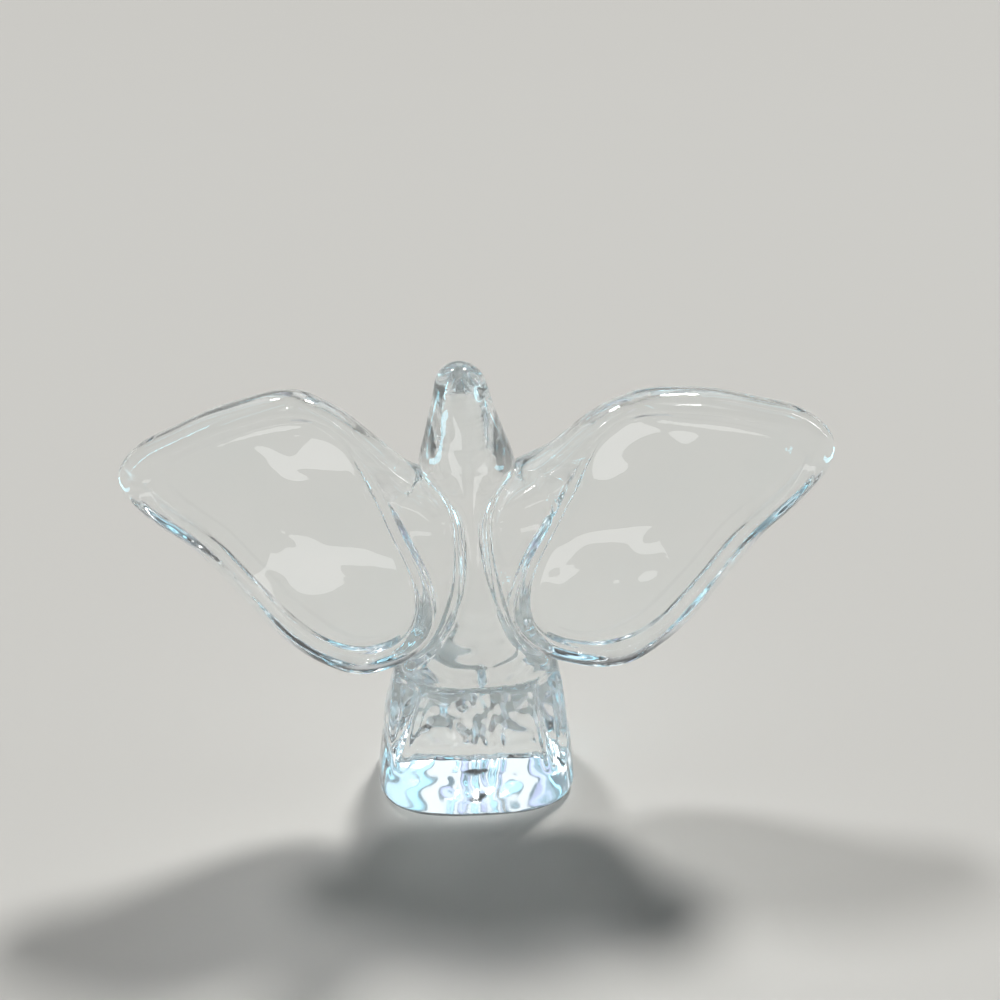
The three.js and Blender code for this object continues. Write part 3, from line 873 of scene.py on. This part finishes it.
def skylight(name, place, strength, width, colour):  # even light over the whole floor
    lamp = newLamp(name, "SUN", place, (0, 0, 0), colour)
    lamp.data.energy = strength
    lamp.data.angle = math.radians(width)


def softbox(name, place, aim, size, glow, colour):  # a card or pane that shows in the glass alone
    lamp = newLamp(name, "AREA", place, aim, colour)
    lamp.data.shape = "RECTANGLE"
    lamp.data.size, lamp.data.size_y = size
    lamp.data.energy = glow * math.pi * size[0] * size[1]
    lamp.visible_diffuse = False
    return lamp


def floorCard(name, x, y, size, glow, colour):
    return softbox(name, (x, y, cardUp), (x, y, 1), size, glow, colour)


def paneLights(name, rows, distance):
    for k, (turn, up, wide, tall, glow, colour) in enumerate(rows):
        a, e = math.radians(turn), math.radians(up)
        place = Vector((math.sin(a) * math.cos(e), math.cos(a) * math.cos(e), math.sin(e))) * distance
        softbox("%s%d" % (name, k + 1), place, panes["aim"], (wide, tall), glow, colour)


def studioWorld():
    world = bpy.data.worlds.new("studio")
    world.use_nodes = True
    tree = world.node_tree
    tree.nodes.clear()
    where = addNode(tree, "ShaderNodeTexCoord")
    axes = addNode(tree, "ShaderNodeSeparateXYZ", links=[(where.outputs["Generated"], 0)])
    height = addNode(tree, "ShaderNodeMapRange", links=[(axes.outputs["Z"], 0)], **{
        "From Min": -1.0, "From Max": 1.0})
    wall = addNode(tree, "ShaderNodeValToRGB", links=[(height.outputs[0], 0)])
    stops = wall.color_ramp.elements
    while len(stops) < len(wallStops):
        stops.new(0.5)
    for stop, (place, value) in zip(stops, wallStops):
        stop.position = place
        stop.color = (value, value, value, 1)
    room = addNode(tree, "ShaderNodeBackground", links=[(wall.outputs[0], "Color")])
    addNode(tree, "ShaderNodeOutputWorld", links=[(room.outputs[0], "Surface")])
    scene.world = world


# the camera looks down at the bird from a little to the left, place in the bird's own millimetres
view = {
    "lens": 44.64, "sensor": 36, "near": 0.01,
    "pitch": 27.8, "turn": 3.5, "place": (-8.98, -234.87, 204.0),
}


def setCamera():
    cam = bpy.data.cameras.new("camera")
    cam.lens = view["lens"]
    cam.sensor_width = view["sensor"]
    cam.clip_start = view["near"]
    holder = bpy.data.objects.new("camera", cam)
    pitch, turn = math.radians(view["pitch"]), math.radians(view["turn"])
    look = Vector((math.cos(pitch) * math.sin(turn), math.cos(pitch) * math.cos(turn), -math.sin(pitch)))
    holder.location = birdPlace @ Vector(view["place"])
    holder.rotation_euler = look.to_track_quat("-Z", "Y").to_euler()
    scene.collection.objects.link(holder)
    scene.camera = holder


studioFloor()
for name, place, strength, width, colour in suns:
    skylight(name, place, strength, width, colour)
for name, place, size, glow, colour in lamps:
    softbox(name, place, lampAim, size, glow, colour)
for name, x, y, size, glow in frontCards:  # pale bands in the wing panels
    for side in (-1, 1):
        card = floorCard(name, side * x, y, size, glow, white)
        card.visible_transmission = False
for name, x in sideCards:  # bright lines along the lower rims
    floorCard(name, x, sideCard["y"], sideCard["size"], sideCard["glow"], skyBlue)
paneLights("windowPane", windowPanes, panes["distance"])
paneLights("frontPane", frontPanes, panes["distance"])
paneLights("sidePane", sidePanes, panes["distance"])
paneLights("windowWall", windowWall, panes["wallDistance"])
studioWorld()
setCamera()
print("stage set")
scene.cycles.use_denoising = True
scene.cycles.max_bounces = 48  # light runs a long way inside solid glass
scene.cycles.transmission_bounces = 48
scene.cycles.glossy_bounces = 32
scene.cycles.transparent_max_bounces = 64
